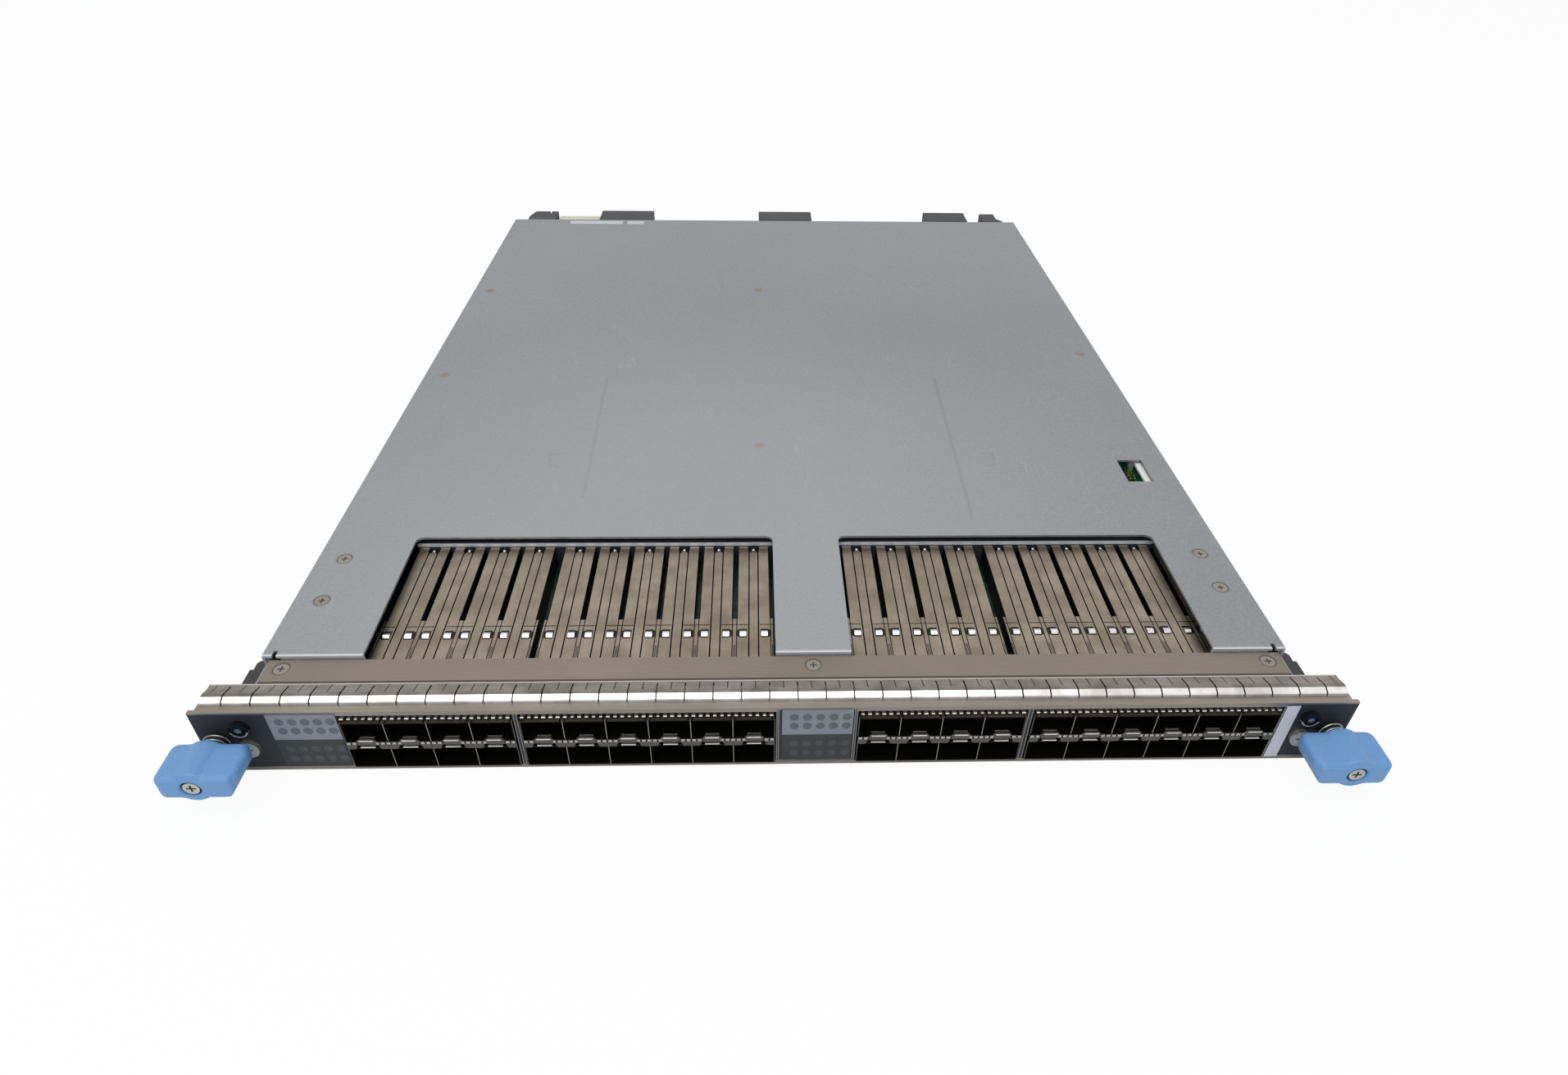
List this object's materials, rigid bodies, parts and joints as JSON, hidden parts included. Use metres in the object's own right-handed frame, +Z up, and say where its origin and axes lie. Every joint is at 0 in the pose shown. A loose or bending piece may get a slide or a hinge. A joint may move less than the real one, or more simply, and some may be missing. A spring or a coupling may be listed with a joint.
{
  "type": "switch line card",
  "caption": "Long chassis line card: folded front panel with two rows of pluggable transceiver cages, sheet tray and cover, rear backplane connectors, captive-screw handles.",
  "frame": {"origin": "centre of the card's footprint, on the plane of its underside", "axes": "+X across the card to the right seen from the front panel, +Y from the front panel towards the backplane connectors, +Z up from the tray to the cover"},
  "size_m": [0.4026, 0.5252, 0.031],
  "materials": {
    "panel_paint": "dark navy powder coat with a fine grain, semi-matt, edges worn a little",
    "indicator_film": "grey printed film with darker round light windows",
    "finger_stock": "bright nickel-plated beryllium copper, slightly warm, streaked along the fingers",
    "zinc_sheet": "zinc-plated sheet with a faint grain, handling scuffs and short scratches",
    "strip_nickel": "plated strip, warm grey, satin",
    "board_green": "green solder mask, satin",
    "post_steel": "plated steel, turned",
    "screw_steel": "bright plated steel with a cross recess",
    "screw_black": "black oxide, satin",
    "cage_steel": "nickel-plated thin sheet, slightly warm",
    "latch_steel": "bright spring sheet",
    "connector_black": "black moulded plastic",
    "connector_grey": "dark grey moulded plastic",
    "connector_cream": "cream moulded plastic",
    "sink_aluminium": "extruded, plain",
    "chip_black": "package with a metal lid, dark",
    "handle_blue": "light blue moulded plastic, satin, softly rounded",
    "spring_steel": "bright spring wire",
    "cast_black": "black-coated casting, matt"
  },
  "bodies": {
    "card": {"front_panel": "panel_paint", "indicator_plate_left": "indicator_film", "indicator_plate_middle": "indicator_film", "emi_gasket": "finger_stock", "tray": "zinc_sheet", "top_cover": "zinc_sheet", "stiffener_bar": "zinc_sheet", "front_strip": "strip_nickel", "circuit_board": "board_green", "cover_posts": "post_steel", "screw_posts": "post_steel", "strip_posts": "post_steel", "board_standoffs": "post_steel", "cover_screws": "screw_steel", "strip_screws": "screw_steel", "bright_panel_screws": "screw_steel", "black_panel_screws": "screw_black", "upper_cage_1": "cage_steel", "lower_cage_1": "cage_steel", "upper_cage_2": "cage_steel", "lower_cage_2": "cage_steel", "upper_cage_3": "cage_steel", "lower_cage_3": "cage_steel", "upper_cage_4": "cage_steel", "lower_cage_4": "cage_steel", "upper_cage_dividers": "cage_steel", "lower_cage_dividers": "cage_steel", "latch_band_1": "latch_steel", "latch_band_2": "latch_steel", "latch_band_3": "latch_steel", "latch_band_4": "latch_steel", "upper_port_connectors": "connector_black", "lower_port_connectors": "connector_black", "service_header": "connector_black", "guide_block_left": "connector_black", "guide_block_right": "connector_black", "backplane_connector_left": "connector_grey", "backplane_connector_middle": "connector_grey", "backplane_connector_right": "connector_grey", "power_connector": "connector_cream", "heat_sink_left": "sink_aluminium", "heat_sink_right": "sink_aluminium", "forwarding_chips": "chip_black", "side_bracket_left": "cast_black", "side_bracket_right": "cast_black"},
    "handle_left": {"handle_left": "handle_blue", "spring_left": "spring_steel", "retaining_clip_left": "spring_steel"},
    "screw_left": {"captive_screw_left": "screw_steel"},
    "handle_right": {"handle_right": "handle_blue", "spring_right": "spring_steel", "retaining_clip_right": "spring_steel"},
    "screw_right": {"captive_screw_right": "screw_steel"}
  },
  "joints": [
    {"name": "handle_left_slide", "type": "slide", "parent": "card", "child": "handle_left", "axis": [0, 1, 0], "range_m": [0, 0.0022], "stiffness_N_per_m": 1500, "deforming": ["spring_left"]},
    {"name": "screw_left_turn", "type": "hinge", "parent": "handle_left", "child": "screw_left", "pos_m": [-0.19, -0.2424, 0.0152], "axis": [0, 1, 0], "continuous": true},
    {"name": "handle_right_slide", "type": "slide", "parent": "card", "child": "handle_right", "axis": [0, 1, 0], "range_m": [0, 0.0022], "stiffness_N_per_m": 1500, "deforming": ["spring_right"]},
    {"name": "screw_right_turn", "type": "hinge", "parent": "handle_right", "child": "screw_right", "pos_m": [0.19, -0.2424, 0.0152], "axis": [0, 1, 0], "continuous": true}
  ]
}
